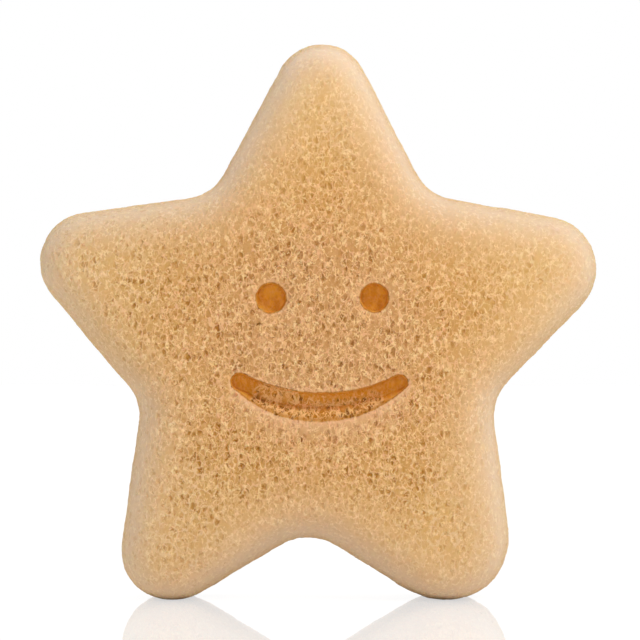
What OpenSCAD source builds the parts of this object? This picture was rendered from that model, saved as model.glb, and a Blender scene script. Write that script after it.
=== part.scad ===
// Star shaped konjac sponge, one moulded piece of open-cell foam.
// A smiling face is sunk into the front. The star stands on its two lower
// arms with the face towards -Y and +Z up, and the back is flat.

/* [Star] */
// Width over the tips of the two side arms
star_w = 95; // [86:0.5:112]
// Height from the feet to the tip of the upper arm
star_h = 94.6; // [86:0.1:112]
// Thickness from the flat back to the highest point of the face
thickness = 27; // [22:0.5:36]

/* [Arms] */
// Radius of the upper arm's tip
top_tip_r = 8; // [7:0.1:10]
// Radius of the left arm's tip
left_tip_r = 8.6; // [7:0.1:10]
// Radius of the right arm's tip
right_tip_r = 9; // [7:0.1:10]
// Radius of the left foot
left_foot_r = 8.8; // [7:0.1:10]
// Radius of the right foot, which is the fuller of the two
right_foot_r = 11; // [8:0.1:12]
// How deep the flat is that each foot stands on
foot_flat = 0.5; // [0.3:0.1:1]

/* [Notches between the arms] */
// Radius of the notch between the upper and the left arm
left_shoulder_r = 7.7; // [5:0.1:10]
// Radius of the notch between the upper and the right arm
right_shoulder_r = 8.4; // [5:0.1:10]
// Radius of the notch between the left arm and the left foot
left_waist_r = 7; // [5:0.1:10]
// Radius of the notch between the right arm and the right foot
right_waist_r = 8; // [5:0.1:10]
// Radius of the notch between the feet
crotch_r = 9.1; // [5:0.1:10]

/* [Moulded section] */
// How far the rounded front edge reaches in over the face
front_roll_w = 6.8; // [3:0.1:8]
// How far the rounded front edge reaches back along the wall
front_roll_d = 9; // [4:0.5:12]
// How much the wall leans in between its back and its front
wall_draft = 0.3; // [0.1:0.1:0.5]
// Radius of the small rounding at the back edge
back_roll = 3; // [1:0.1:4]
// How far the middle of the face stands out past its far ends in the arms
crown = 2.4; // [0.6:0.1:4]

/* [Eyes] */
// Width of the left eye at the surface
left_eye_d = 5.4; // [4:0.1:7]
// Width of the right eye at the surface
right_eye_d = 5.2; // [4:0.1:7]
// Distance between the middles of the eyes
eye_gap = 17.2; // [12:0.1:22]
// How far the eyes lie above the middle of the star
eye_rise = 5.4; // [3:0.1:9]
// How far the pair of eyes lies to the right of the middle
eye_shift = 0.8; // [-2:0.1:2]
// Depth of the eyes
eye_depth = 5; // [2:0.1:9]
// How much narrower an eye is at its floor
eye_draft = 0.5; // [0.2:0.1:1.5]

/* [Smile] */
// Width of the smile over its round ends
smile_w = 30; // [22:0.1:34]
// Height of the opening in the middle of the smile
smile_h = 5.3; // [4:0.1:7]
// Height of the smooth floor in the middle of the smile
smile_floor_h = 2.3; // [1.5:0.1:3.5]
// How far the ends of the smile rise above its middle
smile_rise = 4.3; // [2:0.1:6]
// How far the smile lies below the middle of the star
smile_drop = 13; // [9:0.1:15]
// How far the smile lies to the right of the middle
smile_shift = 0.3; // [-2:0.1:2]
// Depth of the smile
smile_depth = 4.6; // [2:0.1:9]
// Radius of the left end of the smile
smile_left_r = 1.7; // [1.2:0.1:2]
// Radius of the right end of the smile
smile_right_r = 1.5; // [1.2:0.1:2]
// How much the upper wall and the ends lean in towards the floor
smile_draft = 0.25; // [0.1:0.05:0.6]

/* [Hidden] */

// Steps in the arcs of the outline and in the rolls of the section
tip_steps = 9;
notch_steps = 5;
roll_steps = 5;
back_steps = 3;
// Steps along the smile and in a quarter of its ends
smile_steps = 10;
end_steps = 4;
// Facets round an eye
eye_facets = 48;
// Overrun of the cuts past the surface that they open
overrun = 2;
// Least radius that is left at an arm's tip where the face begins
least_tip_r = 0.4;

// Place of the middle of the star, as a share of the height
heart_share = 0.484;
heart = [0, heart_share * star_h];

// Places round the outline, as shares of the width and of the height
top_tip_share = 0.007;
left_shoulder_share = [-0.241, 0.803];
left_tip_share = 0.606;
left_waist_share = [-0.394, 0.331];
left_foot_share = -0.261;
crotch_share = [-0.018, 0.014];
right_foot_share = 0.2275;
right_waist_share = [0.4, 0.33];
right_tip_share = 0.5945;
right_shoulder_share = [0.255, 0.8075];

// Rings on the crown of the face, as shares of the way out from the middle
crown_shares = [0.25, 0.5, 0.75];

// The two ways round an arc of the outline
OUTWARD = 1;
INWARD = -1;

// A place given in shares of the star's width and height
function spot(share) = [share[0] * star_w, share[1] * star_h];

// The circles that the outline runs round: middle, radius and way round.
// They go round from the upper tip to the left, and arms and notches take turns.
circles = [
    [[top_tip_share * star_w, star_h - top_tip_r], top_tip_r, OUTWARD],
    [spot(left_shoulder_share), left_shoulder_r, INWARD],
    [[left_tip_r - star_w / 2, left_tip_share * star_h], left_tip_r, OUTWARD],
    [spot(left_waist_share), left_waist_r, INWARD],
    [[left_foot_share * star_w, left_foot_r - foot_flat], left_foot_r, OUTWARD],
    [spot(crotch_share), crotch_r, INWARD],
    [[right_foot_share * star_w, right_foot_r - foot_flat], right_foot_r, OUTWARD],
    [spot(right_waist_share), right_waist_r, INWARD],
    [[star_w / 2 - right_tip_r, right_tip_share * star_h], right_tip_r, OUTWARD],
    [spot(right_shoulder_share), right_shoulder_r, INWARD]
];

// The rounded front edge is limited by the slimmest arm
slimmest_r = min([for (c = circles) if (c[2] == OUTWARD) c[1]]);
roll_w = min(front_roll_w, slimmest_r - wall_draft - least_tip_r);

// Front and back in the depth of the sponge, and where the rounded edge meets the wall
front_y = -thickness / 2;
back_y = thickness / 2;
wall_y = front_y + crown + front_roll_d;

// Way from the middle of the star to where the face ends in the upper arm
crown_reach = star_h - heart[1] - wall_draft - roll_w;

// Heading of the straight flank that touches circles a and b, in degrees
function heading(a, b) =
    let (way = b[0] - a[0])
    atan2(way[1], way[0]) + a[2] * asin((a[1] + b[1]) / norm(way));

// Angle between two headings, taken the given way round
function sweep(from, to, way_round) =
    let (angle = way_round * (to - from))
    angle - 360 * floor(angle / 360);

// Points of the outline on circle i, with the whole outline drawn in by inset
function arc(i, inset) =
    let (
        count = len(circles),
        c = circles[i],
        start = heading(circles[(i + count - 1) % count], c),
        turn = sweep(start, heading(c, circles[(i + 1) % count]), c[2]),
        steps = c[2] == OUTWARD ? tip_steps : notch_steps,
        r = c[1] - c[2] * inset
    )
    [
        for (k = [0:steps])
            let (h = start + c[2] * turn * k / steps)
            c[0] + c[2] * r * [sin(h), -cos(h)]
    ];

// The star's whole outline, drawn in by inset
function outline(inset) = [for (i = [0:len(circles) - 1]) each arc(i, inset)];

// Depth of the crowned face at a distance from its middle
function crown_y(distance) = front_y + crown * pow(distance / crown_reach, 2);

// Inner edge of the rounded front edge, where the face ends
face_edge = outline(wall_draft + roll_w);

// A ring on the crown, at a share of the way out from the middle to the face's edge
function crown_ring(share) = [
    for (p = face_edge)
        let (way = share * (p - heart), q = heart + way)
        [q[0], crown_y(norm(way)), q[1]]
];

// A ring on the rounded front edge, from 0 degrees at the face to 90 at the wall
function roll_ring(a) =
    let (line = outline(wall_draft + roll_w * (1 - sin(a))))
    [
        for (i = [0:len(line) - 1])
            let (edge_y = crown_y(norm(face_edge[i] - heart)))
            [line[i][0], wall_y - (wall_y - edge_y) * cos(a), line[i][1]]
    ];

// A ring on the small rounding behind, from 0 degrees at the wall to 90 at the back
function back_ring(a) = [
    for (p = outline(back_roll * (1 - cos(a))))
        [p[0], back_y - back_roll * (1 - sin(a)), p[1]]
];

// Triangles of the bands between rings of count points, first ring to the front
function bands(rings, count) = [
    for (j = [0:rings - 2])
        for (i = [0:count - 1])
            let (
                next = (i + 1) % count,
                a = j * count + i,
                b = j * count + next,
                c = b + count,
                d = a + count
            )
            each [[a, b, c], [a, c, d]]
];

// The whole star, closed by a fan in front and by a flat one behind
module star_form() {
    rings = concat(
        [for (share = crown_shares) crown_ring(share)],
        [for (k = [0:roll_steps]) roll_ring(90 * k / roll_steps)],
        [for (k = [0:back_steps]) back_ring(90 * k / back_steps)]
    );
    count = len(rings[0]);
    last = (len(rings) - 1) * count;
    middle = len(rings) * count;
    points = concat(
        [for (r = rings) each r],
        [[heart[0], front_y, heart[1]], [heart[0], back_y, heart[1]]]
    );
    front_fan = [for (i = [0:count - 1]) [middle, (i + 1) % count, i]];
    back_fan = [for (i = [0:count - 1]) [middle + 1, last + i, last + (i + 1) % count]];
    polyhedron(points, concat(front_fan, bands(len(rings), count), back_fan), convexity = 6);
}

// Everything below the surface that the star stands on
module under_feet() {
    translate([-star_w, -thickness, -star_h])
        cube([2 * star_w, 2 * thickness, star_h]);
}

// One eye, a blind hole with a slight taper
module eye(side, eye_d) {
    mouth_y = crown_y(norm([eye_gap / 2, eye_rise]));
    taper = eye_draft / 2 / eye_depth;
    translate([eye_shift + side * eye_gap / 2, mouth_y + eye_depth, heart[1] + eye_rise])
        rotate([90, 0, 0])
        cylinder(
            h = eye_depth + overrun,
            r1 = (eye_d - eye_draft) / 2,
            r2 = eye_d / 2 + taper * overrun,
            $fn = eye_facets
        );
}

// The smile follows an arc through the middles of its round ends
smile_reach = (smile_w - smile_left_r - smile_right_r) / 2;
smile_arc_r = (smile_reach * smile_reach + smile_rise * smile_rise) / (2 * smile_rise);
smile_angle = asin(smile_reach / smile_arc_r);

// Middle of the smile at u, from -1 at the left end to 1, with its middle lifted
function spine(u, lift) =
    let (a = u * smile_angle)
    [smile_arc_r * sin(a), smile_arc_r * (1 - cos(a)) + lift * (1 - u * u)];

// Square to the spine at u, pointing down
function down(u) = [sin(u * smile_angle), -cos(u * smile_angle)];

// Along the spine at u, pointing right
function along(u) = [cos(u * smile_angle), sin(u * smile_angle)];

// One edge of the smile from its left end to its right end, side 1 below and -1 above
function lip(side, height, left_r, right_r, lift) = concat(
    [
        for (k = [0:end_steps - 1])
            let (a = 90 * (1 - k / end_steps))
            spine(-1, lift) + left_r * (side * cos(a) * down(-1) - sin(a) * along(-1))
    ],
    [
        for (k = [0:smile_steps])
            let (
                u = 2 * k / smile_steps - 1,
                end_r = left_r + (right_r - left_r) * (u + 1) / 2,
                swell = height / 2 - (left_r + right_r) / 2,
                half = end_r + swell * (1 - u * u)
            )
            spine(u, lift) + side * half * down(u)
    ],
    [
        for (k = [1:end_steps])
            let (a = 90 * k / end_steps)
            spine(1, lift) + right_r * (side * cos(a) * down(1) + sin(a) * along(1))
    ]
);

// The closed outline of the smile at depth y, from the left end along the lower edge
function smile_ring(y, height, left_r, right_r, lift) =
    let (
        lower = lip(1, height, left_r, right_r, lift),
        upper = lip(-1, height, left_r, right_r, lift)
    )
    [
        for (p = concat(lower, [for (i = [len(upper) - 2:-1:1]) upper[i]]))
            [p[0] + smile_shift, y, p[1] + heart[1] - smile_drop]
    ];

// The smile's recess: steep above and at the ends, with a long slope below
module smile() {
    lip_y = crown_y(smile_drop);
    floor_lift = (smile_h - smile_floor_h) / 2 - smile_draft;
    left_floor_r = smile_left_r - smile_draft;
    right_floor_r = smile_right_r - smile_draft;
    rings = [
        smile_ring(lip_y - overrun, smile_h, smile_left_r, smile_right_r, 0),
        smile_ring(lip_y, smile_h, smile_left_r, smile_right_r, 0),
        smile_ring(lip_y + smile_depth, smile_floor_h, left_floor_r, right_floor_r, floor_lift)
    ];
    count = len(rings[0]);
    half = count / 2;
    last = 2 * count;
    // Triangles across the crescent, from its left end to its right end
    ladder = concat(
        [[0, count - 1, 1]],
        [for (i = [1:half - 2]) each [[i, count - i, i + 1], [i + 1, count - i, count - i - 1]]],
        [[half - 1, half + 1, half]]
    );
    floor_ladder = [for (t = ladder) [last + t[0], last + t[2], last + t[1]]];
    polyhedron(
        [for (r = rings) each r],
        concat(ladder, bands(len(rings), count), floor_ladder),
        convexity = 4
    );
}

// The sponge: the star on its flat feet, with the face sunk into it
module sponge_body() {
    color([0.84, 0.68, 0.47])
    difference() {
        star_form();
        under_feet();
        eye(-1, left_eye_d);
        eye(1, right_eye_d);
        smile();
    }
}

sponge_body();
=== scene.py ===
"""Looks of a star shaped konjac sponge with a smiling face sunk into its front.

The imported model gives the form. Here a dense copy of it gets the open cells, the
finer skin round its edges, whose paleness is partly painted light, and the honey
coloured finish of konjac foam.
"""
import logging
import math
from dataclasses import dataclass
from enum import Enum
from functools import reduce

import bmesh
import bpy
import numpy as np
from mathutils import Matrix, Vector


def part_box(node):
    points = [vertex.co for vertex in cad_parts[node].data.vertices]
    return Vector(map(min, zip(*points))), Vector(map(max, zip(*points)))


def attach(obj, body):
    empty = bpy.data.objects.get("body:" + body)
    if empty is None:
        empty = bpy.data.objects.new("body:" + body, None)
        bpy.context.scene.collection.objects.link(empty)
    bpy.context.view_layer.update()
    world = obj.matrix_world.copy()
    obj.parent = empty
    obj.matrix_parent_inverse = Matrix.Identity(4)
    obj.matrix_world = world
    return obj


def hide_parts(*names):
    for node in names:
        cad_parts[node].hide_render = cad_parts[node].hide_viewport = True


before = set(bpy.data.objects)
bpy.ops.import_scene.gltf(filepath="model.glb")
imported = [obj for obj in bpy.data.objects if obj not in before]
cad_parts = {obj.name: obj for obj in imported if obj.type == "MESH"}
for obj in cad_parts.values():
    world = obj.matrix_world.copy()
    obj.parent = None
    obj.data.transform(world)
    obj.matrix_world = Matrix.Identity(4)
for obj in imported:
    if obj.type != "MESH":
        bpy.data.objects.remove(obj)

MM = 0.001
TINY = 1e-15
MERGE_GAP = 0.001
NOISE_MIDDLE = 0.5
NOISE_SPAN = 4.0
SCREEN_WHITE = 255
SCREEN_DARK = 0.04045
SCREEN_SLOPE = 12.92
SCREEN_SHIFT = 0.055
SCREEN_POWER = 2.4
WHITE = (1.0, 1.0, 1.0)
BAKE_MAP = "OFBake"

log = logging.getLogger("sponge")
Socket = bpy.types.NodeSocket


class Stored(Enum):
    """The values that the sponge's mesh carries for its cells and its finish."""

    REST = "rest_place"
    # Pale skin at the edges: partly the closed skin, partly painted light that shines through the thin
    # edges.
    RIM = "skin_share"
    OUT = "way_from_heart"
    OPEN = "open_share"
    SUNK = "sunk_share"
    CLOSED = "closed_share"
    # Painted highlight round the recesses' edges, strongest below the smile.
    PALE = "pale_share"


class Side(Enum):
    """The regions that the sponge's surface is laid out in."""

    FACE = 0
    BACK = 1
    WALL = 2


def linear(*numbers: int) -> tuple[float, ...]:
    """Turns the numbers that a screen shows into a linear colour.

    Args:
        numbers: Red, green and blue, 0 to 255.

    Returns:
        The linear colour, 0 to 1.
    """
    shares = np.array(numbers) / SCREEN_WHITE
    bright = ((shares + SCREEN_SHIFT) / (1 + SCREEN_SHIFT)) ** SCREEN_POWER
    return tuple(np.where(shares <= SCREEN_DARK, shares / SCREEN_SLOPE, bright).tolist())


def numbers_of(items: object, name: str, width: int = 1, kind: type = np.float32) -> np.ndarray:
    """One value of every item of a mesh.

    Args:
        items: The mesh's vertices, loops or faces, or the data of an attribute.
        name: The value's name.
        width: How many numbers the value has.
        kind: The kind of number.

    Returns:
        The numbers, one row to an item where a value has several.
    """
    numbers = np.empty(len(items) * width, kind)
    items.foreach_get(name, numbers)
    return numbers if width == 1 else numbers.reshape(-1, width).astype(float)


@dataclass(frozen=True)
class Ramp:
    """A step from one value, at low and before it, to another, at high and past it."""

    low: float
    high: float
    start: float = 0.0
    end: float = 1.0

    def eased(self, values: np.ndarray) -> np.ndarray:
        """The result for some values, easing in and out."""
        share = np.clip((values - self.low) / (self.high - self.low), 0, 1)
        return self.start + (self.end - self.start) * (share * share * (3 - 2 * share))


class Graph:
    """Short words for building a node tree, in a material or in geometry nodes."""

    def __init__(self, tree: bpy.types.NodeTree) -> None:
        """Keeps the tree that nodes are added to."""
        self.tree = tree

    @classmethod
    def emptied(cls, owner: bpy.types.Material | bpy.types.World) -> "Graph":
        """The tree of a material or a world, without the nodes that it came with.

        Args:
            owner: The material or the world.

        Returns:
            Its empty tree.
        """
        owner.use_nodes = True
        owner.node_tree.nodes.clear()
        return cls(owner.node_tree)

    def node(self, kind: str, settings: dict | None = None, **inputs: object) -> bpy.types.Node:
        """Adds a node.

        Args:
            kind: The node's bl_idname.
            settings: Properties of the node itself.
            inputs: Values or output sockets for its inputs, named in lower case
                with _ for a space, or by i and a number.

        Returns:
            The new node.
        """
        made = self.tree.nodes.new(kind)
        for name, value in (settings or {}).items():
            setattr(made, name, value)
        for name, value in inputs.items():
            self.feed(self.find(made, name), value)
        return made

    @staticmethod
    def find(node: bpy.types.Node, name: str) -> Socket:
        """An input of a node.

        Args:
            node: The node.
            name: The input's name in lower case with _ for a space, or i and its number.

        Returns:
            The usable input that has the name, or the one at the number.
        """
        if name[0] == "i" and name[1:].isdigit():
            return node.inputs[int(name[1:])]
        wanted = name.replace("_", " ")
        return next(s for s in node.inputs if s.enabled and s.name.lower() == wanted)

    def feed(self, socket: Socket, value: object) -> None:
        """Links an output to a socket, or sets the socket's own value.

        Args:
            socket: The input that is fed.
            value: An output, a number, a vector, a colour or a name.
        """
        if isinstance(value, Socket):
            self.tree.links.new(value, socket)
        elif socket.type == "RGBA" and len(value) == 3:
            socket.default_value = (*value, 1.0)
        else:
            socket.default_value = value

    def math(self, operation: str, a: object, b: object = 0.0) -> Socket:
        """The result of a Math node on two values."""
        return self.node("ShaderNodeMath", {"operation": operation}, i0=a, i1=b).outputs[0]

    def times(self, *values: object) -> Socket:
        """The product of two or more values."""
        return reduce(lambda a, b: self.math("MULTIPLY", a, b), values)

    def plus(self, *values: object) -> Socket:
        """The sum of two or more values."""
        return reduce(lambda a, b: self.math("ADD", a, b), values)

    def less(self, value: object) -> Socket:
        """One minus a value."""
        return self.math("SUBTRACT", 1.0, value)

    def most(self, a: object, b: object) -> Socket:
        """The larger of two values."""
        return self.math("MAXIMUM", a, b)

    def least(self, a: object, b: object) -> Socket:
        """The smaller of two values."""
        return self.math("MINIMUM", a, b)

    def vector(self, operation: str, a: object, b: object) -> Socket:
        """The result of a Vector Math node on two vectors."""
        return self.node("ShaderNodeVectorMath", {"operation": operation}, i0=a, i1=b).outputs[0]

    def scaled(self, vector: object, factor: object) -> Socket:
        """A vector times a number."""
        return self.node("ShaderNodeVectorMath", {"operation": "SCALE"}, i0=vector, i3=factor).outputs[0]

    def split(self, vector: Socket) -> bpy.types.NodeOutputs:
        """The three parts of a vector or a colour."""
        return self.node("ShaderNodeSeparateXYZ", i0=vector).outputs

    def step(self, value: object, ramp: Ramp, smooth: bool = True) -> Socket:
        """A ramp's result at a value, which eases in and out if it is smooth."""
        settings = {"interpolation_type": "SMOOTHSTEP" if smooth else "LINEAR", "clamp": True}
        return self.node("ShaderNodeMapRange", settings, i0=value, i1=ramp.low, i2=ramp.high,
                         i3=ramp.start, i4=ramp.end).outputs[0]

    def mix(self, factor: object, a: object, b: object) -> Socket:
        """Colour a at factor 0, colour b at factor 1."""
        return self.node("ShaderNodeMix", {"data_type": "RGBA"}, i0=factor, i6=a, i7=b).outputs[2]

    def noise(self, place: object, length: float, detail: float = 1.0) -> bpy.types.Node:
        """A Noise node whose features are about a length across."""
        return self.node("ShaderNodeTexNoise", vector=place, scale=1 / length, detail=detail)

    def wave(self, place: object, length: float, detail: float = 1.0) -> Socket:
        """Noise of a length, about zero."""
        return self.math("SUBTRACT", self.noise(place, length, detail).outputs[0], NOISE_MIDDLE)

    def shifted(self, place: object, length: float, reach: float) -> Socket:
        """A place that noise of a length has moved by about a reach."""
        way = self.vector("SUBTRACT", self.noise(place, length).outputs["Color"], (NOISE_MIDDLE,) * 3)
        return self.vector("ADD", place, self.scaled(way, NOISE_SPAN * reach))

    def cells(self, place: object, width: float) -> bpy.types.Node:
        """A Voronoi node whose cells have a width."""
        return self.node("ShaderNodeTexVoronoi", {"feature": "F1"}, vector=place, scale=1 / width)

    def walls(self, place: object, width: float) -> Socket:
        """How far a place lies from the walls between cells of a width, as a share of the width."""
        return self.node("ShaderNodeTexVoronoi", {"feature": "DISTANCE_TO_EDGE"}, vector=place,
                         scale=1 / width).outputs["Distance"]


@dataclass(frozen=True)
class CellMasks:
    """What the foam is at a place, as sockets from 0 to 1."""

    pit: Socket
    dimple: Socket
    strand: Socket
    thread: Socket
    tone: Socket
    tint: Socket


@dataclass(frozen=True)
class FoamCells:
    """The open cells of the foam and the fibres on it, with lengths in millimetres."""

    large: float = 1.12
    small: float = 0.68
    upright: tuple = (1.14, 1.14, 0.84)
    apart: tuple = (17.3, 4.1, 9.7)
    warp: float = 0.26
    warp_length: float = 0.7
    gap_length: float = 1.1
    whole_wall: Ramp = Ramp(0.38, 0.54, 0.15, 1.0)
    film_length: float = 2.4
    bare_of_film: Ramp = Ramp(0.58, 0.68, 1.0, 0.25)
    wide_cell: Ramp = Ramp(0.15, 0.95)
    narrow_cell: Ramp = Ramp(0.2, 0.9)
    pit_edge: Ramp = Ramp(0.18, 0.54, 1.0, 0.0)
    dimple_edge: Ramp = Ramp(0.14, 0.46, 1.0, 0.0)
    wall_edge: Ramp = Ramp(0.03, 0.16, 1.0, 0.0)
    thread_loss: float = 0.8
    fibre_length: float = 1.05
    fibre_bend: float = 0.5
    fibre_edge: Ramp = Ramp(0.0325, 0.13, 1.0, 0.0)
    fibre_bit: float = 0.8
    fibre_ends: Ramp = Ramp(0.5, 0.6)
    large_depth: float = 0.24
    small_depth: float = 0.13
    strand_height: float = 0.05

    def build(self, graph: Graph, place: Socket) -> CellMasks:
        """The masks of the cells at a place in the foam, alike in geometry and in materials.

        Args:
            graph: The tree to build in.
            place: Where in the foam, in millimetres.

        Returns:
            pit and dimple, 1 in the middle of a wide open large or small cell, strand and
            thread, 1 on the walls between them, and tone and tint, a random value per cell.
        """
        place = graph.vector("MULTIPLY", place, self.upright)
        bent = graph.shifted(place, self.warp_length, self.warp)
        other = graph.vector("ADD", bent, self.apart)
        whole = graph.step(graph.noise(place, self.gap_length).outputs[0], self.whole_wall)
        bare = graph.step(graph.noise(other, self.film_length).outputs[0], self.bare_of_film)
        large = graph.cells(bent, self.large)
        small = graph.cells(other, self.small)
        tones = graph.split(large.outputs["Color"])
        tints = graph.split(small.outputs["Color"])
        wide = graph.step(tones[0], self.wide_cell, smooth=False)
        narrow = graph.step(tints[0], self.narrow_cell, smooth=False)
        broken = graph.less(graph.times(whole, self.thread_loss))
        return CellMasks(
            pit=graph.times(graph.step(large.outputs["Distance"], self.pit_edge), wide, bare),
            dimple=graph.times(graph.step(small.outputs["Distance"], self.dimple_edge), narrow, bare),
            strand=graph.times(graph.step(graph.walls(bent, self.large), self.wall_edge), whole, bare),
            thread=graph.times(graph.step(graph.walls(other, self.small), self.wall_edge), broken, bare),
            tone=tones[1],
            tint=tints[1],
        )

    def fibres(self, graph: Graph, place: Socket) -> Socket:
        """Short bright fibres, as bits of the edges of yet other cells.

        Args:
            graph: The tree to build in.
            place: Where in the foam, in millimetres.

        Returns:
            1 on a fibre.
        """
        place = graph.vector("MULTIPLY", place, self.upright)
        spot = graph.vector("SUBTRACT", graph.shifted(place, self.fibre_bend, self.warp), self.apart)
        edges = graph.step(graph.walls(spot, self.fibre_length), self.fibre_edge)
        bits = graph.step(graph.noise(spot, self.fibre_bit).outputs[0], self.fibre_ends)
        return graph.times(edges, bits)

    def depth(self, graph: Graph, masks: CellMasks) -> Socket:
        """How deep wide open cells lie at a place.

        Args:
            graph: The tree to build in.
            masks: The masks of the cells there.

        Returns:
            The depth in millimetres.
        """
        pits = graph.times(masks.pit, self.large_depth)
        deep = graph.plus(pits, graph.times(masks.dimple, self.small_depth))
        return graph.math("SUBTRACT", deep, graph.times(masks.strand, self.strand_height))


@dataclass(frozen=True)
class FoamPoint:
    """What the foam is like at the point that is being coloured, as sockets."""

    place: Socket
    rim: Socket
    out: Socket
    sunk: Socket
    closed: Socket
    # The painted highlight round the recesses.
    pale: Socket
    mottle: Socket
    floor: Socket
    masks: CellMasks
    dark: Socket
    strand: Socket
    fibre: Socket


@dataclass(frozen=True)
class RecessFinish:
    """The finish inside the eyes and the smile, whose floors are closed in places."""

    wall: tuple = linear(222, 158, 68)
    # The darker wall colour mottles at random and is also painted shade along the lip. The lighter colour
    # deep in the corner is painted light set against the corner's shade.
    wall_mottle_and_shade: tuple = linear(194, 127, 38)
    wall_place: Ramp = Ramp(0.35, 0.65)
    lip_shade_gain: float = 0.6
    lip_shade_sunk: float = 0.6
    pit: tuple = linear(138, 82, 10)
    pit_gain: Ramp = Ramp(0.45, 0.85, 1.5, 1.3)
    # The bright orange of the floors is partly the closed skin's own colour and partly painted light, for
    # the glow that shines through the foam into the recesses.
    floor: tuple = linear(248, 190, 68)
    floor_warm: tuple = linear(234, 168, 56)
    floor_place: Ramp = Ramp(0.4, 0.6)
    # Painted shade: the smile's floor is darker than the eyes' floors, for the shadow under its upper lip.
    # The shade fades towards the smile's ends.
    floor_painted_shade: tuple = linear(226, 155, 44)
    smile_shade: Ramp = Ramp(1.0, 1.5, 1.0, 0.0)
    strand: tuple = linear(252, 206, 140)
    strand_gain: float = 1.6
    strand_place: Ramp = Ramp(0.12, 0.4, 0.3, 1.0)
    strand_loss: float = 0.6
    # Painted highlight: a cream colour laid on the foam round the recesses' edges, strongest below the
    # smile's lower edge.
    lip: tuple = linear(240, 193, 149)
    lip_highlight_share: float = 0.65
    ragged: float = 0.8
    floor_edge: Ramp = Ramp(0.56, 0.84)
    floor_start: Ramp = Ramp(0.1, 0.3)
    mouth_edge: Ramp = Ramp(0.03, 0.1)

    def floor_share(self, graph: Graph, mottle: Socket, sunk: Socket, closed: Socket) -> Socket:
        """How far a point lies on the closed floor of an eye or of the smile, whose edge is mottled."""
        ragged = graph.plus(closed, graph.times(graph.math("SUBTRACT", mottle, NOISE_MIDDLE), self.ragged))
        return graph.times(graph.step(ragged, self.floor_edge), graph.step(sunk, self.floor_start))

    def cover(self, graph: Graph, point: FoamPoint, colour: Socket) -> Socket:
        """The foam's colour with the recesses, and the painted highlight round their edges, laid over it.

        Args:
            graph: The tree to build in.
            point: The foam at the point.
            colour: The colour of the open foam there.

        Returns:
            The whole colour.
        """
        # Painted highlight round the recesses.
        colour = graph.mix(graph.times(point.pale, self.lip_highlight_share), colour, self.lip)
        return graph.mix(graph.step(point.sunk, self.mouth_edge), colour, self.inside(graph, point))

    def inside(self, graph: Graph, point: FoamPoint) -> Socket:
        """The colour within a recess: its wall, its cells, its floor and its strands.

        Args:
            graph: The tree to build in.
            point: The foam at the point.

        Returns:
            The colour.
        """
        # Painted shade and light: the wall darkens towards the lip and lightens towards its deep corner.
        lip_shade = graph.times(graph.math("SUBTRACT", self.lip_shade_sunk, point.sunk), self.lip_shade_gain)
        low = graph.plus(point.mottle, lip_shade)
        colour = graph.mix(graph.step(low, self.wall_place), self.wall, self.wall_mottle_and_shade)
        hole = graph.least(graph.times(point.dark, graph.step(point.sunk, self.pit_gain)), 1.0)
        colour = graph.mix(hole, colour, self.pit)
        bottom = graph.mix(graph.step(point.mottle, self.floor_place), self.floor, self.floor_warm)
        # Painted shade darkens the smile's floor.
        bottom = graph.mix(graph.step(point.closed, self.smile_shade), bottom, self.floor_painted_shade)
        colour = graph.mix(point.floor, colour, bottom)
        bright = graph.least(graph.times(graph.most(point.strand, point.fibre), self.strand_gain), 1.0)
        # Fewer strands near the lip add to the painted shade there.
        bright = graph.times(bright, graph.less(graph.times(point.floor, self.strand_loss)),
                             graph.step(point.sunk, self.strand_place))
        return graph.mix(bright, colour, self.strand)


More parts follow.
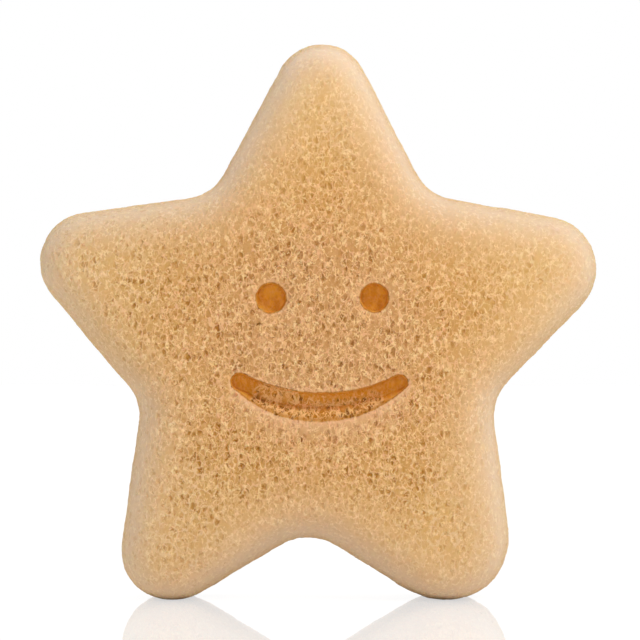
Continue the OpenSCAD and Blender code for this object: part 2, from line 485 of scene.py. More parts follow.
@dataclass(frozen=True)
class KonjacFoam:
    """The finish of the foam: its colours, and how they lie on its cells and its skin."""

    slot: str = "konjac_foam"
    cells: FoamCells = FoamCells()
    recess: RecessFinish = RecessFinish()
    film: tuple = linear(205, 153, 97)
    film_deep: tuple = linear(200, 147, 88)
    film_gold: tuple = linear(208, 156, 83)
    film_pale: tuple = linear(220, 173, 106)
    # The pale skin colour is partly the closed skin's own and partly painted light that shines through the
    # thin edges.
    skin: tuple = linear(240, 213, 186)
    drift_length: float = 7.0
    drift_detail: float = 3.0
    drift: Ramp = Ramp(0.38, 0.62)
    gold: Ramp = Ramp(10.0, 26.0)
    gold_share: float = 0.75
    arms: Ramp = Ramp(20.0, 42.0)
    strand: tuple = linear(245, 201, 143)
    strand_pink: tuple = linear(242, 191, 146)
    strand_pale: tuple = linear(244, 212, 168)
    strand_share: float = 0.75
    strand_power: float = 0.5
    thread_share: float = 0.8
    fibre: tuple = linear(255, 221, 164)
    fibre_pale: tuple = linear(255, 234, 206)
    fibre_share: float = 0.64
    fibre_power: float = 0.2
    pit: tuple = linear(152, 100, 26)
    pit_brown: tuple = linear(162, 96, 32)
    pit_golden: tuple = linear(174, 115, 20)
    pit_tan: tuple = linear(206, 158, 96)
    pit_rim: Ramp = Ramp(0.05, 0.4)
    dark_share: float = 0.9
    dark_power: float = 1.25
    dimple_share: float = 0.6
    floor_loss: float = 0.7
    mottle_length: float = 0.95
    mottle_detail: float = 2.0
    roughness: float = 0.88
    specular: float = 0.2
    glow: float = 0.4
    glow_reach: float = 2.0
    glow_colour: tuple = (1.0, 0.5, 0.2)
    bump_depth: float = 0.12
    bump_strength: float = 0.6

    def material(self) -> bpy.types.Material:
        """Builds the material, which reads where each point was before the cells were opened.

        Returns:
            The material.
        """
        made = bpy.data.materials.new(self.slot)
        graph = Graph.emptied(made)
        point = self.point(graph)
        colour = self.recess.cover(graph, point, self.open_foam(graph, point))
        height = graph.math("SUBTRACT", graph.most(point.strand, point.fibre), point.dark)
        bump = graph.node("ShaderNodeBump", strength=self.bump_strength,
                          distance=self.bump_depth * MM, height=height)
        shader = graph.node("ShaderNodeBsdfPrincipled", base_color=colour, roughness=self.roughness,
                            specular_ior_level=self.specular, subsurface_weight=self.glow,
                            subsurface_radius=self.glow_colour, subsurface_scale=self.glow_reach * MM,
                            normal=bump.outputs[0])
        graph.node("ShaderNodeOutputMaterial", i0=shader.outputs[0])
        return made

    def point(self, graph: Graph) -> FoamPoint:
        """What the mesh and the cells say of the point that is being coloured.

        Args:
            graph: The tree to build in.

        Returns:
            The foam at the point.
        """
        place = self.read(graph, Stored.REST, "Vector")
        rim, out, share, sunk, closed, pale = (
            self.read(graph, stored, "Fac")
            for stored in (Stored.RIM, Stored.OUT, Stored.OPEN, Stored.SUNK, Stored.CLOSED, Stored.PALE))
        masks = self.cells.build(graph, place)
        mottle = self.mottle(graph, place)
        floor = self.recess.floor_share(graph, mottle, sunk, closed)
        share = graph.times(share, graph.less(graph.times(floor, self.floor_loss)))
        dark = graph.most(masks.pit, graph.times(masks.dimple, self.dimple_share))
        strand = graph.most(masks.strand, graph.times(masks.thread, self.thread_share))
        fibre = self.cells.fibres(graph, place)
        return FoamPoint(
            place=place, rim=rim, out=out, sunk=sunk, closed=closed, pale=pale, mottle=mottle, floor=floor,
            masks=masks,
            dark=graph.times(dark, graph.math("POWER", share, self.dark_power), self.dark_share),
            strand=graph.times(strand, graph.math("POWER", share, self.strand_power), self.strand_share),
            fibre=graph.times(fibre, graph.math("POWER", share, self.fibre_power), self.fibre_share),
        )

    def open_foam(self, graph: Graph, point: FoamPoint) -> Socket:
        """The colour of the face, the walls and the back: film, pits, strands and fibres.

        Args:
            graph: The tree to build in.
            point: The foam at the point.

        Returns:
            The colour.
        """
        golden = graph.step(point.out, self.gold)
        arms = graph.step(point.out, self.arms)
        drift = graph.noise(point.place, self.drift_length, self.drift_detail).outputs[0]
        film = graph.mix(graph.step(drift, self.drift), self.film, self.film_deep)
        film = graph.mix(graph.times(golden, self.gold_share), film, self.film_gold)
        # The pale skin near the edges is partly painted light, with a painted highlight at the upper ends
        # of the arms and painted shade under the side arms.
        film = graph.mix(point.rim, graph.mix(arms, film, self.film_pale), self.skin)
        pit = graph.mix(point.masks.tone, self.pit, self.pit_brown)
        pit = graph.mix(golden, pit, self.pit_golden)
        pit = graph.mix(graph.step(point.rim, self.pit_rim), pit, self.pit_tan)
        colour = graph.mix(point.dark, film, pit)
        wall = graph.mix(point.masks.tint, self.strand, self.strand_pink)
        colour = graph.mix(point.strand, colour, graph.mix(arms, wall, self.strand_pale))
        return graph.mix(point.fibre, colour, graph.mix(point.rim, self.fibre, self.fibre_pale))

    def mottle(self, graph: Graph, place: Socket) -> Socket:
        """Soft blotches, which make the edges of the recesses' floors ragged."""
        return graph.noise(place, self.mottle_length, self.mottle_detail).outputs[0]

    @staticmethod
    def read(graph: Graph, stored: Stored, output: str) -> Socket:
        """A value that the mesh carries, as a socket."""
        return graph.node("ShaderNodeAttribute", {"attribute_name": stored.value}).outputs[output]


def placed(name: str, data: bpy.types.ID) -> bpy.types.Object:
    """A new object that shows some data.

    Args:
        name: The object's name.
        data: Its mesh, lamp or camera.

    Returns:
        The object, in the scene.
    """
    made = bpy.data.objects.new(name, data)
    bpy.context.scene.collection.objects.link(made)
    return made


def merged(mesh: bpy.types.Mesh) -> bmesh.types.BMesh:
    """Joins the loose triangles of a mesh.

    Args:
        mesh: The mesh, which is left as it is.

    Returns:
        The joined copy.
    """
    form = bmesh.new()
    form.from_mesh(mesh)
    bmesh.ops.remove_doubles(form, verts=form.verts, dist=MERGE_GAP * MM)
    return form


class Outline:
    """The star's outline where a plane cuts its wall, as a closed run of points in X and Z."""

    def __init__(self, mesh: bpy.types.Mesh, depth: float) -> None:
        """Cuts a mesh with a plane across Y and keeps the outline.

        Args:
            mesh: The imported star.
            depth: The plane's place along Y.
        """
        form = merged(mesh)
        cut = bmesh.ops.bisect_plane(form, geom=[*form.verts, *form.edges, *form.faces],
                                     plane_co=(0, depth, 0), plane_no=(0, 1, 0))
        edges = {e for e in cut["geom_cut"] if isinstance(e, bmesh.types.BMEdge)}
        edge = min(edges, key=lambda e: e.index)
        corner = edge.verts[0]
        run = []
        while edge:
            edges.remove(edge)
            corner = edge.other_vert(corner)
            run.append((corner.co.x, corner.co.z))
            edge = next((e for e in corner.link_edges if e in edges), None)
        form.free()
        self.points = np.array(run)
        self.ways = np.roll(self.points, -1, axis=0) - self.points
        self.lengths = np.linalg.norm(self.ways, axis=1)
        self.starts = np.cumsum(self.lengths) - self.lengths
        self.length = float(self.lengths.sum())

    def nearest(self, places: np.ndarray) -> tuple[np.ndarray, np.ndarray]:
        """The nearest place on the outline to each of some points.

        Args:
            places: Points in X and Z, one a row.

        Returns:
            How far off the outline each point lies, and how far along it.
        """
        gap = np.full(len(places), np.inf)
        along = np.zeros(len(places))
        for point, way, length, start in zip(self.points, self.ways, self.lengths, self.starts):
            if length == 0:
                continue
            share = np.clip((places - point) @ way / length**2, 0, 1)
            off = np.linalg.norm(places - point - share[:, None] * way, axis=1)
            closer = off < gap
            gap[closer] = off[closer]
            along[closer] = start + share[closer] * length
        return gap, along


@dataclass(frozen=True)
class BakeLayout:
    """Where the sponge's surface lies in the unit square that its colours are baked into.

    The wall is what faces sideways within a reach in millimetres of the outline.
    """

    face: float = 0.6
    back: float = 0.375
    gap: float = 0.006
    strips: int = 4
    flat_share: float = 0.6
    wall_reach: float = 8.0

    def strip_corner(self, strip: int) -> tuple[float, float, bool]:
        """Where a strip of the wall lies.

        Args:
            strip: The strip's number.

        Returns:
            Its lowest corner, and whether it runs upwards.
        """
        start = self.face + 2 * self.gap
        width = (1 - start - 2 * self.gap) / 2
        if strip < self.strips // 2:
            return self.gap, start + strip * (width + self.gap), False
        return start + (strip - self.strips // 2) * (width + self.gap), self.gap, True

    def lay(self, sides: np.ndarray, share: np.ndarray, strip: np.ndarray, run: np.ndarray,
            rise: np.ndarray) -> np.ndarray:
        """The places in the unit square of some corners of faces.

        Args:
            sides: Which side each corner's face belongs to.
            share: Each corner's place across the star, 0 to 1 in X and Z.
            strip: The strip of the wall that it belongs to.
            run: How far along that strip it lies, 0 to 1.
            rise: How far from the front to the back it lies, 0 to 1.

        Returns:
            The places, one a row.
        """
        inner = self.face - self.gap
        spots = self.gap + share * inner
        at_back = sides == Side.BACK.value
        mirrored = np.stack([1 - share[:, 0], share[:, 1]], axis=1)
        spots[at_back] = 1 - self.gap - self.back + mirrored[at_back] * self.back
        width = (1 - self.face - 4 * self.gap) / 2
        for number in range(self.strips):
            x, y, upright = self.strip_corner(number)
            mine = (sides == Side.WALL.value) & (strip == number)
            long, short = run[mine] * inner, rise[mine] * width
            spots[mine] = np.stack([x + short, y + long] if upright else [x + long, y + short], axis=1)
        return spots


@dataclass(frozen=True)
class Points:
    """Where the points of the mesh lie on the star.

    across and up lead from the star's middle, and out is the whole way from it. depth is
    the place along Y, and inward the way in from the outline, all in millimetres. From 0
    to 1, middle is how far a point lies in the middle of the wall, arm how far out in an
    arm, and sunk how far down in an eye or in the smile.
    """

    across: np.ndarray
    up: np.ndarray
    out: np.ndarray
    depth: np.ndarray
    inward: np.ndarray
    middle: np.ndarray
    arm: np.ndarray
    sunk: np.ndarray


@dataclass(frozen=True)
class FaceFloor:
    """Where the floors of the eyes and the smile are closed foam, with lengths in millimetres."""

    eye_share: float = 1.6
    end_share: float = 1.3
    ends: Ramp = Ramp(9.0, 13.0)
    column: float = 0.25
    bare_place: float = -6.3
    bare_reach: float = 3.2
    bare_loss: float = 0.55
    sunk_least: float = 0.08
    # How far the painted highlight reaches below the smile and round its other edges and the eyes, and how
    # faint it is there.
    highlight_below: float = 2.0
    highlight_above: float = 0.5
    highlight_faint: float = 0.5

    def column_ends(self, points: Points, smile: np.ndarray) -> tuple[np.ndarray, np.ndarray]:
        """The lowest and the highest point of the smile in each point's column of the face.

        Args:
            points: Where the points lie.
            smile: Whether each of them is in the smile.

        Returns:
            The lowest and the highest place, infinite where a column has no smile.
        """
        column = np.round(points.across / self.column).astype(int)
        column -= column.min()
        lowest = np.full(column.max() + 1, np.inf)
        highest = -lowest
        np.minimum.at(lowest, column[smile], points.up[smile])
        np.maximum.at(highest, column[smile], points.up[smile])
        return lowest[column], highest[column]

    def pale(self, points: Points) -> np.ndarray:
        """How strong the painted highlight is round the recesses, most of all below the smile.

        Args:
            points: Where the points lie.

        Returns:
            1 at the smile's lower edge, falling to 0.
        """
        across, up = points.across, points.up
        sunk = points.sunk > self.sunk_least
        lowest, highest = self.column_ends(points, sunk & (up < 0))
        below = np.maximum(lowest - up, 0)
        above = np.maximum(up - highest, 0)
        here = np.isfinite(lowest)
        pale = np.where(here & (above == 0), np.exp(-below / self.highlight_below), 0)
        pale = np.where(here & (above > 0), self.highlight_faint * np.exp(-above / self.highlight_above), pale)
        for side in (-1, 1):
            eye = sunk & (up > 0) & (across * side > 0)
            off = np.hypot(across - across[eye].mean(), up - up[eye].mean())
            past = np.maximum(off - off[eye].max(), 0)
            pale = np.maximum(pale, self.highlight_faint * np.exp(-past / self.highlight_above))
        return pale

    def closed(self, points: Points) -> np.ndarray:
        """How closed the foam is in the recesses.

        Args:
            points: Where the points lie.

        Returns:
            Over a half where a floor is smooth, which in the smile is near its upper edge
            and at its ends.
        """
        closed = np.full(len(points.across), self.eye_share)
        smile = (points.sunk > self.sunk_least) & (points.up < 0)
        low, high = (ends[smile] for ends in self.column_ends(points, smile))
        across, up = points.across[smile], points.up[smile]
        rise = (up - low) / np.maximum(high - low, self.column)
        ends = self.ends.eased(np.abs(across)) * (self.end_share - rise)
        bare = np.exp(-((across - self.bare_place) / self.bare_reach) ** 2)
        closed[smile] = rise + ends - self.bare_loss * bare
        return closed


@dataclass(frozen=True)
class Lean:
    """A stretch along a way across the face in which the cells open more or less."""

    way: tuple
    gain: Ramp

    def share(self, points: Points) -> np.ndarray:
        """What is added to the openness of some points."""
        return self.gain.eased(self.way[0] * points.across + self.way[1] * points.up)


@dataclass(frozen=True)
class Openness:
    """How open the cells are over the sponge, with lengths in millimetres."""

    faint_share: float = 0.38
    skin_way: float = 1.0
    full_way: float = 14.5
    arm_loss: float = 0.12
    side_share: float = 0.7
    # The first two leans are painted light and shade. The cells open less towards the upper right, where
    # the lamp's light falls strongest, and more towards the lower left. The rest change the openness down
    # the face.
    leans: tuple = (
        Lean((0.45, 0.89), Ramp(5.0, 25.0, 0.0, -0.32)),
        Lean((-0.9, -0.3), Ramp(12.0, 32.0, 0.0, 0.3)),
        Lean((0.5, -0.87), Ramp(20.0, 34.0, 0.0, -0.15)),
        Lean((0.0, -1.0), Ramp(6.0, 16.0, 0.0, 0.15)),
        Lean((0.0, -1.0), Ramp(22.0, 34.0, 0.0, -0.2)),
    )

    def share(self, points: Points) -> np.ndarray:
        """How open the cells are at some points.

        Args:
            points: Where the points lie.

        Returns:
            0 where they are closed, about 1 where they are fully open.
        """
        share = np.clip((points.inward - self.skin_way) / (self.full_way - self.skin_way), 0, 1)
        share = self.faint_share + (1 - self.faint_share) * share
        # The leans include painted light and shade from the lamp at the upper right.
        lean = 1 + sum(part.share(points) for part in self.leans)
        return np.maximum(share * (1 - self.arm_loss * points.arm) * lean, self.side_share * points.middle)


@dataclass(frozen=True)
class SkinAndEdgeLight:
    """How far the pale skin reaches in from the star's edges, with lengths in millimetres. Its paleness is
    partly the closed skin and partly painted light through the thin edges.
    """

    reach: float = 4.4
    fall: float = 1.25
    # Painted highlight: more pale skin at the upper ends of the arms, where the light from above falls.
    tip_highlight_gain: float = 0.3
    tip: Ramp = Ramp(38.0, 50.0)
    tip_highlight_height: Ramp = Ramp(0.0, 40.0)
    # Painted shade: less pale skin under the side arms, out of the light.
    under_shade_loss: float = 0.5
    under_shade_height: float = -2.0
    under_shade_reach: float = 9.0
    under: Ramp = Ramp(22.0, 32.0)
    side_bare: float = 0.6

    def share(self, points: Points) -> np.ndarray:
        """How much skin lies over some points.

        Args:
            points: Where the points lie.

        Returns:
            1 on full skin, 0 on none. There is more at the upper tip, as a painted highlight, and
            less under the side arms, as painted shade, and in the middle of the wall.
        """
        tip_highlight = self.tip.eased(points.out) * self.tip_highlight_height.eased(points.up)
        under = np.exp(-((points.up - self.under_shade_height) / self.under_shade_reach) ** 2)
        under *= self.under.eased(np.abs(points.across))
        rim = np.exp(-(points.inward / self.reach) ** self.fall) + self.tip_highlight_gain * tip_highlight
        return np.minimum(rim, 1) * (1 - self.side_bare * points.middle) * (1 - self.under_shade_loss * under)


@dataclass(frozen=True)
class Unevenness:
    """How the foam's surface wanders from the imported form, with lengths in millimetres."""

    wander: float = 0.1
    wander_length: float = 9.0
    ripple: float = 0.085
    ripple_length: float = 2.2
    ripple_detail: float = 2.0
    fuzz: float = 0.04
    fuzz_length: float = 0.6
    swell: Ramp = Ramp(0.2, 3.0, 0.0, 0.15)
    stand: Ramp = Ramp(0.0, 0.6)

    def height(self, graph: Graph, place: Socket) -> Socket:
        """How far the surface stands out at a place.

        Args:
            graph: The tree to build in.
            place: Where in the foam, in millimetres.

        Returns:
            The height in millimetres, which is 0 where the feet stand.
        """
        slow = graph.times(graph.wave(place, self.wander_length), NOISE_SPAN * self.wander)
        quick = graph.wave(place, self.ripple_length, self.ripple_detail)
        quick = graph.times(quick, NOISE_SPAN * self.ripple)
        fine = graph.times(graph.wave(place, self.fuzz_length), NOISE_SPAN * self.fuzz)
        height = graph.split(place)[2]
        every = graph.plus(slow, quick, graph.step(height, self.swell), fine)
        return graph.times(every, graph.step(height, self.stand))


@dataclass(frozen=True)
class CellCut:
    """How the cells are pressed into the mesh, and how its recesses are kept crisp."""

    smooth_rounds: int = 45
    last_rounds: int = 2
    lip_rounds: int = 14
    lip_start: Ramp = Ramp(0.04, 0.12)
    lip_edge: Ramp = Ramp(0.02, 0.5)
    lip_depth: Ramp = Ramp(0.1, 1.0, 1.0, 0.6)
    sunk_depth: Ramp = Ramp(0.1, 0.3, 1.0, 0.7)
    floor_loss: float = 0.85
    open_power: float = 1.3
    draw: float = 3.6
    uneven: Unevenness = Unevenness()

    def press(self, piece: bpy.types.Object, finish: KonjacFoam) -> None:
        """Gives a piece a modifier that smooths it and presses the foam's cells into it.

        Args:
            piece: The dense copy, with what the cells depend on stored on it.
            finish: The foam, whose masks the cells follow.
        """
        tree = bpy.data.node_groups.new("open_cells", "GeometryNodeTree")
        tree.interface.new_socket("Geometry", in_out="INPUT", socket_type="NodeSocketGeometry")
        tree.interface.new_socket("Geometry", in_out="OUTPUT", socket_type="NodeSocketGeometry")
        graph = Graph(tree)
        lip = self.lip(graph)
        start = graph.node("NodeGroupInput").outputs[0]
        smooth = self.eased(graph, start, self.smooth_rounds, graph.less(lip))
        smooth = self.eased(graph, smooth, self.last_rounds, 1.0)
        kept = graph.node("GeometryNodeStoreNamedAttribute", {"data_type": "FLOAT_VECTOR"},
                          geometry=smooth, name=Stored.REST.value, value=self.place(graph))
        rest = self.stored(graph, Stored.REST, "FLOAT_VECTOR")
        depth = self.depth(graph, rest, lip, finish)
        raised = graph.math("SUBTRACT", self.uneven.height(graph, rest), depth)
        move = graph.scaled(graph.node("GeometryNodeInputNormal").outputs[0], graph.times(raised, MM))
        moved = graph.node("GeometryNodeSetPosition", geometry=kept.outputs[0], offset=move)
        graph.node("NodeGroupOutput", i0=moved.outputs[0])
        piece.modifiers.new("cells", "NODES").node_group = tree

    def lip(self, graph: Graph) -> Socket:
        """1 in a recess and at its edge, falling to 0 around it."""
        near = graph.node("GeometryNodeBlurAttribute", {"data_type": "FLOAT"}, iterations=self.lip_rounds,
                          i0=graph.step(self.stored(graph, Stored.SUNK, "FLOAT"), self.lip_start))
        return graph.step(near.outputs[0], self.lip_edge)

    def place(self, graph: Graph) -> Socket:
        """Where in the foam a point lies, with the recesses drawn forwards.

        Args:
            graph: The tree to build in.

        Returns:
            The place in millimetres.
        """
        here = graph.scaled(graph.node("GeometryNodeInputPosition").outputs[0], 1 / MM)
        drawn = graph.times(self.stored(graph, Stored.SUNK, "FLOAT"), self.draw)
        return graph.vector("SUBTRACT", here, graph.node("ShaderNodeCombineXYZ", y=drawn).outputs[0])

    def depth(self, graph: Graph, rest: Socket, lip: Socket, finish: KonjacFoam) -> Socket:
        """How deep the cells lie at a place, in millimetres.

        Args:
            graph: The tree to build in.
            rest: Where in the foam, in millimetres.
            lip: How near the place is to a recess.
            finish: The foam, whose masks the cells follow.

        Returns:
            The depth, which is less on a closed floor and where the cells are hardly open.
        """
        share, sunk, closed = (self.stored(graph, stored, "FLOAT")
                               for stored in (Stored.OPEN, Stored.SUNK, Stored.CLOSED))
        deep = finish.cells.depth(graph, finish.cells.build(graph, rest))
        floor = finish.recess.floor_share(graph, finish.mottle(graph, rest), sunk, closed)
        return graph.times(deep, graph.math("POWER", share, self.open_power),
                           graph.step(lip, self.lip_depth), graph.step(sunk, self.sunk_depth),
                           graph.less(graph.times(floor, self.floor_loss)))

    @staticmethod
    def eased(graph: Graph, geometry: Socket, rounds: int, weight: object) -> Socket:
        """Draws the points of a geometry towards their neighbours.

        Args:
            graph: The tree to build in.
            geometry: The geometry.
            rounds: How often they are drawn.
            weight: How strongly each is, 0 to 1.

        Returns:
            The smoothed geometry.
        """
        where = graph.node("GeometryNodeInputPosition").outputs[0]
        blur = graph.node("GeometryNodeBlurAttribute", {"data_type": "FLOAT_VECTOR"},
                          value=where, iterations=rounds, weight=weight)
        moved = graph.node("GeometryNodeSetPosition", geometry=geometry, position=blur.outputs[0])
        return moved.outputs[0]

    @staticmethod
    def stored(graph: Graph, stored: Stored, kind: str) -> Socket:
        """A value that the mesh carries, as a socket in geometry nodes."""
        made = graph.node("GeometryNodeInputNamedAttribute", {"data_type": kind}, name=stored.value)
        return next(s for s in made.outputs if s.enabled and s.name == "Attribute")


@dataclass
class SpongeBody:
    """The sponge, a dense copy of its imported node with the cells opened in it.

    Lengths are in millimetres. The crown, the recesses and the place of the star's
    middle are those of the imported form.
    """

    node: str = "sponge_body"
    name: str = "sponge_foam"
    body: str = "root"
    fill: float = 0.8
    voxel: float = 0.2
    wall_depth: float = 5.0
    heart_share: float = 0.484
    crown: float = 2.4
    crown_reach: float = 41.7
    face_reach: float = 19.0
    recess_depth: float = 4.8
    wall_middle: Ramp = Ramp(0.65, 0.25)
    wall_edge: Ramp = Ramp(1.0, 3.0)
    skin: SkinAndEdgeLight = SkinAndEdgeLight()
    openness: Openness = Openness()
    face_floor: FaceFloor = FaceFloor()
    cut: CellCut = CellCut()
    layout: BakeLayout = BakeLayout()
    finish: KonjacFoam = KonjacFoam()

    def make(self) -> bpy.types.Object:
        """Builds the sponge, dresses it and puts it in its node's place.

        Returns:
            The sponge.
        """
        piece = self.dense_copy()
        outline = Outline(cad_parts[self.node].data, self.wall_depth * MM)
        self.measure(piece.data, outline)
        self.cut.press(piece, self.finish)
        self.apply(piece)
        self.unfold(piece.data, outline)
        piece.data.materials.clear()
        piece.data.materials.append(self.finish.material())
        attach(piece, self.body)
        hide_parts(self.node)
        return piece

    def dense_copy(self) -> bpy.types.Object:
        """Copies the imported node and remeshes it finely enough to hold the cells.

        Returns:
            The closed copy.
        """
        form = merged(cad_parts[self.node].data)
        mesh = bpy.data.meshes.new(self.name)
        form.to_mesh(mesh)
        form.free()
        piece = placed(self.name, mesh)
        remesh = piece.modifiers.new("even", "REMESH")
        remesh.mode = "VOXEL"
        remesh.voxel_size = self.voxel * MM
        self.apply(piece)
        return piece

    @staticmethod
    def apply(piece: bpy.types.Object) -> None:
        """Applies all of a piece's modifiers to its mesh.

        Args:
            piece: The piece, which keeps its name and its place.
        """
        seen = bpy.context.evaluated_depsgraph_get()
        mesh = bpy.data.meshes.new_from_object(piece.evaluated_get(seen), depsgraph=seen)
        old = piece.data
        piece.modifiers.clear()
        piece.data = mesh
        bpy.data.meshes.remove(old)
        mesh.name = piece.name

    def points(self, mesh: bpy.types.Mesh, outline: Outline) -> Points:
        """Finds where the points of the mesh lie on the star.

        Args:
            mesh: The dense copy's mesh.
            outline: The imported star's outline.

        Returns:
            Their places.
        """
        places = numbers_of(mesh.vertices, "co", 3)
        flat = places[:, [0, 2]]
        low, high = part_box(self.node)
        across, up = (flat - (0.0, self.heart_share * high.z)).T / MM
        out = np.hypot(across, up)
        depth = places[:, 1] / MM
        inward = outline.nearest(flat)[0] / MM
        middle = self.wall_middle.eased(np.abs(depth) / (high.y / MM)) * (1 - self.wall_edge.eased(inward))
        face = low.y / MM + self.crown * (out / self.crown_reach) ** 2
        inside = (out < self.face_reach) & (depth < 0)
        sunk = np.where(inside, np.clip((depth - face) / self.recess_depth, 0, 1), 0)
        return Points(across, up, out, depth, inward, middle, self.finish.arms.eased(out), sunk)

    def measure(self, mesh: bpy.types.Mesh, outline: Outline) -> None:
        """Stores on each point what the cells and the finish depend on.

        Args:
            mesh: The dense copy's mesh.
            outline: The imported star's outline.
        """
        points = self.points(mesh, outline)
        front = points.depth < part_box(self.node)[0].y / MM / 2
        values = {
            # Pale skin at the edges, partly painted light.
            Stored.RIM: self.skin.share(points),
            Stored.OUT: points.out,
            Stored.OPEN: self.openness.share(points),
            Stored.SUNK: points.sunk,
            Stored.CLOSED: self.face_floor.closed(points),
            # The painted highlight lies on the front only.
            Stored.PALE: np.where(front, self.face_floor.pale(points), 0),
        }
        for stored, numbers in values.items():
            made = mesh.attributes.new(stored.value, "FLOAT", "POINT")
            made.data.foreach_set("value", numbers.astype(np.float32))

    def unfold(self, mesh: bpy.types.Mesh, outline: Outline) -> None:
        """Lays the surface out for the bake, from where it was before the cells were opened.

        Args:
            mesh: The finished mesh.
            outline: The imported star's outline.
        """
        rest = numbers_of(mesh.attributes[Stored.REST.value].data, "vector", 3) * MM
        corners = numbers_of(mesh.loops, "vertex_index", kind=np.int32)
        counts = numbers_of(mesh.polygons, "loop_total", kind=np.int32)
        owner = np.repeat(np.arange(len(counts)), counts)
        first = np.cumsum(counts) - counts
        places = rest[corners]
        gap, along = outline.nearest(rest[:, [0, 2]])
        sides = self.sides(places, first, gap[corners[first]])
        low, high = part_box(self.node)
        span = max(high.x - low.x, high.z - low.z)
        share = (places[:, [0, 2]] - (low.x, low.z)) / span
        stretch = outline.length / self.layout.strips
        strip = np.minimum(along[corners[first]] // stretch, self.layout.strips - 1).astype(int)
        run = along[corners] - strip[owner] * stretch
        run -= np.round((run - stretch / 2) / outline.length) * outline.length
        rise = (places[:, 1] - low.y) / (high.y - low.y)
        spots = self.layout.lay(sides[owner], share, strip[owner], run / stretch, rise)
        layer = mesh.uv_layers.new(name=BAKE_MAP)
        layer.uv.foreach_set("vector", np.clip(spots, 0, 1).astype(np.float32).ravel())

    def sides(self, places: np.ndarray, first: np.ndarray, gap: np.ndarray) -> np.ndarray:
        """Which side of the sponge each face belongs to.

        Args:
            places: The places of all corners of faces.
            first: The number of each face's first corner.
            gap: How far off the outline that corner lies, in metres.

        Returns:
            The value of a Side for each face.
        """
        one, two, three = places[first], places[first + 1], places[first + 2]
        facing = np.cross(two - one, three - one)
        facing /= np.maximum(np.linalg.norm(facing, axis=1), TINY)[:, None]
        wall = (np.abs(facing[:, 1]) < self.layout.flat_share) & (gap < self.layout.wall_reach * MM)
        back = ~wall & (one[:, 1] > 0)
        return np.select([wall, back], [Side.WALL.value, Side.BACK.value], Side.FACE.value)


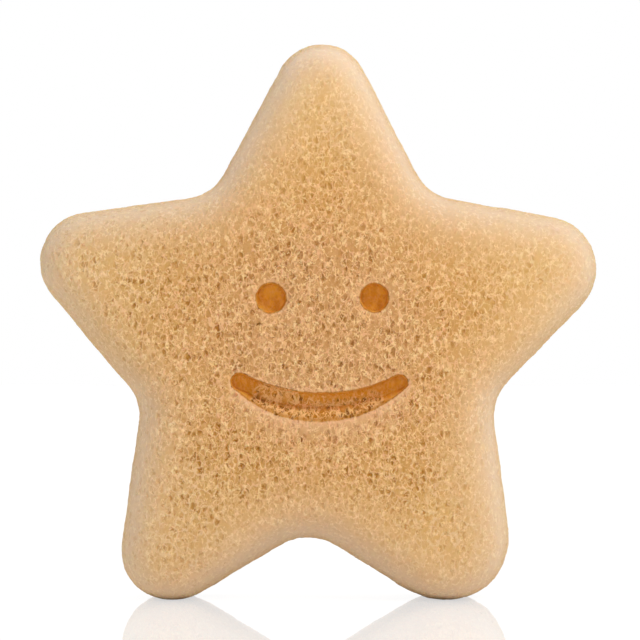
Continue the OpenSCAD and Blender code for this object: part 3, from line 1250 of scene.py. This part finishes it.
@dataclass
class Studio:
    """A white floor with a faint mirror image, soft light and the camera, in metres and watts."""

    floor_width: float = 4.0
    mirror_share: float = 0.33
    mirror_roughness: float = 0.02
    floor_glow: float = 0.93
    floor_colour: float = 0.16
    plain_colour: float = 0.92
    backdrop_ramp: Ramp = Ramp(-0.3, 0.3, 0.3, 1.0)
    key_power: float = 0.61
    key_place: tuple = (0.135, -0.26, 0.28)
    key_width: float = 0.12
    front_power: float = 1.35
    front_place: tuple = (-0.03, -0.9, 0.09)
    front_width: float = 0.3
    lit_place: tuple = (0.0, 0.0, 0.045)
    image_width: int = 640
    millimetres_wide: float = 95.0
    pixels_wide: float = 557.0
    stand_px: tuple = (318.0, 598.5)
    distance: float = 0.62
    nearest: float = 0.01
    sensor: float = 36.0

    def make(self) -> None:
        """Builds the floor, the world, the lamps and the camera."""
        self.floor()
        self.world()
        self.lamp("key", self.key_place, self.key_width, self.key_power)
        self.lamp("front", self.front_place, self.front_width, self.front_power)
        self.camera()
        bpy.context.scene.view_settings.view_transform = "Standard"

    def floor(self) -> bpy.types.Object:
        """Builds a large plane, which keeps the sponge's shadow and a faint mirror image.

        Returns:
            The floor.
        """
        form = bmesh.new()
        bmesh.ops.create_grid(form, x_segments=1, y_segments=1, size=self.floor_width / 2)
        mesh = bpy.data.meshes.new("floor")
        form.to_mesh(mesh)
        form.free()
        mesh.materials.append(self.floor_finish())
        floor = placed("floor", mesh)
        return floor

    def floor_finish(self) -> bpy.types.Material:
        """Builds a glossy white for the camera and a plain white for the light thrown back.

        Returns:
            The floor's material.
        """
        made = bpy.data.materials.new("white_gloss_floor")
        graph = Graph.emptied(made)
        seen = graph.node("ShaderNodeLightPath").outputs["Is Camera Ray"]
        plain = graph.node("ShaderNodeBsdfDiffuse", color=(self.plain_colour,) * 3)
        shaded = graph.node("ShaderNodeBsdfDiffuse", color=(self.floor_colour,) * 3)
        white = graph.node("ShaderNodeEmission", color=WHITE, strength=self.floor_glow)
        lit = graph.node("ShaderNodeAddShader", i0=shaded.outputs[0], i1=white.outputs[0])
        mirror = graph.node("ShaderNodeBsdfGlossy", color=WHITE, roughness=self.mirror_roughness)
        gloss = graph.node("ShaderNodeMixShader", i0=self.mirror_share, i1=lit.outputs[0],
                           i2=mirror.outputs[0])
        both = graph.node("ShaderNodeMixShader", i0=seen, i1=plain.outputs[0], i2=gloss.outputs[0])
        graph.node("ShaderNodeOutputMaterial", i0=both.outputs[0])
        return made

    def world(self) -> None:
        """Light from a bright backdrop and a dimmer room, and pure white where the camera sees it."""
        world = bpy.data.worlds.new("studio")
        bpy.context.scene.world = world
        graph = Graph.emptied(world)
        path = graph.node("ShaderNodeLightPath").outputs
        seen = graph.most(path["Is Camera Ray"], path["Is Glossy Ray"])
        seen = graph.most(seen, path["Is Transmission Ray"])
        way = graph.node("ShaderNodeTexCoord").outputs["Generated"]
        lit = graph.step(graph.split(way)[1], self.backdrop_ramp)
        strength = graph.most(lit, seen)
        light = graph.node("ShaderNodeBackground", color=WHITE, strength=strength)
        graph.node("ShaderNodeOutputWorld", i0=light.outputs[0])

    def lamp(self, name: str, place: tuple, width: float, power: float) -> bpy.types.Object:
        """A square soft lamp that looks at the middle of the star.

        Args:
            name: The lamp's name.
            place: Where it stands, in metres.
            width: Its side.
            power: Its power in watts.

        Returns:
            The lamp.
        """
        data = bpy.data.lights.new(name, "AREA")
        data.size = width
        data.energy = power
        lamp = placed(name, data)
        lamp.location = place
        way = Vector(self.lit_place) - Vector(place)
        lamp.rotation_euler = way.to_track_quat("-Z", "Y").to_euler()
        return lamp

    def camera(self) -> bpy.types.Object:
        """Builds a long lens held level, as far off as the photograph's even outline asks.

        Returns:
            The camera.
        """
        pixel = self.millimetres_wide / self.pixels_wide * MM
        middle = self.image_width / 2
        data = bpy.data.cameras.new("camera")
        data.sensor_width = self.sensor
        data.lens = self.sensor * self.distance / (self.image_width * pixel)
        data.clip_start = self.nearest
        camera = placed("camera", data)
        camera.location = ((middle - self.stand_px[0]) * pixel, -self.distance,
                           (self.stand_px[1] - middle) * pixel)
        camera.rotation_euler = (math.pi / 2, 0.0, 0.0)
        bpy.context.scene.camera = camera
        return camera


def main() -> None:
    """Builds the studio and the sponge, and reports each piece."""
    logging.basicConfig(level=logging.INFO, format="%(name)s: %(message)s")
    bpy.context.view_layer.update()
    Studio().make()
    log.info("the floor, the lamps and the camera are in place")
    sponge = SpongeBody().make()
    log.info("%s has %d faces", sponge.name, len(sponge.data.polygons))


if __name__ == "__main__":
    main()
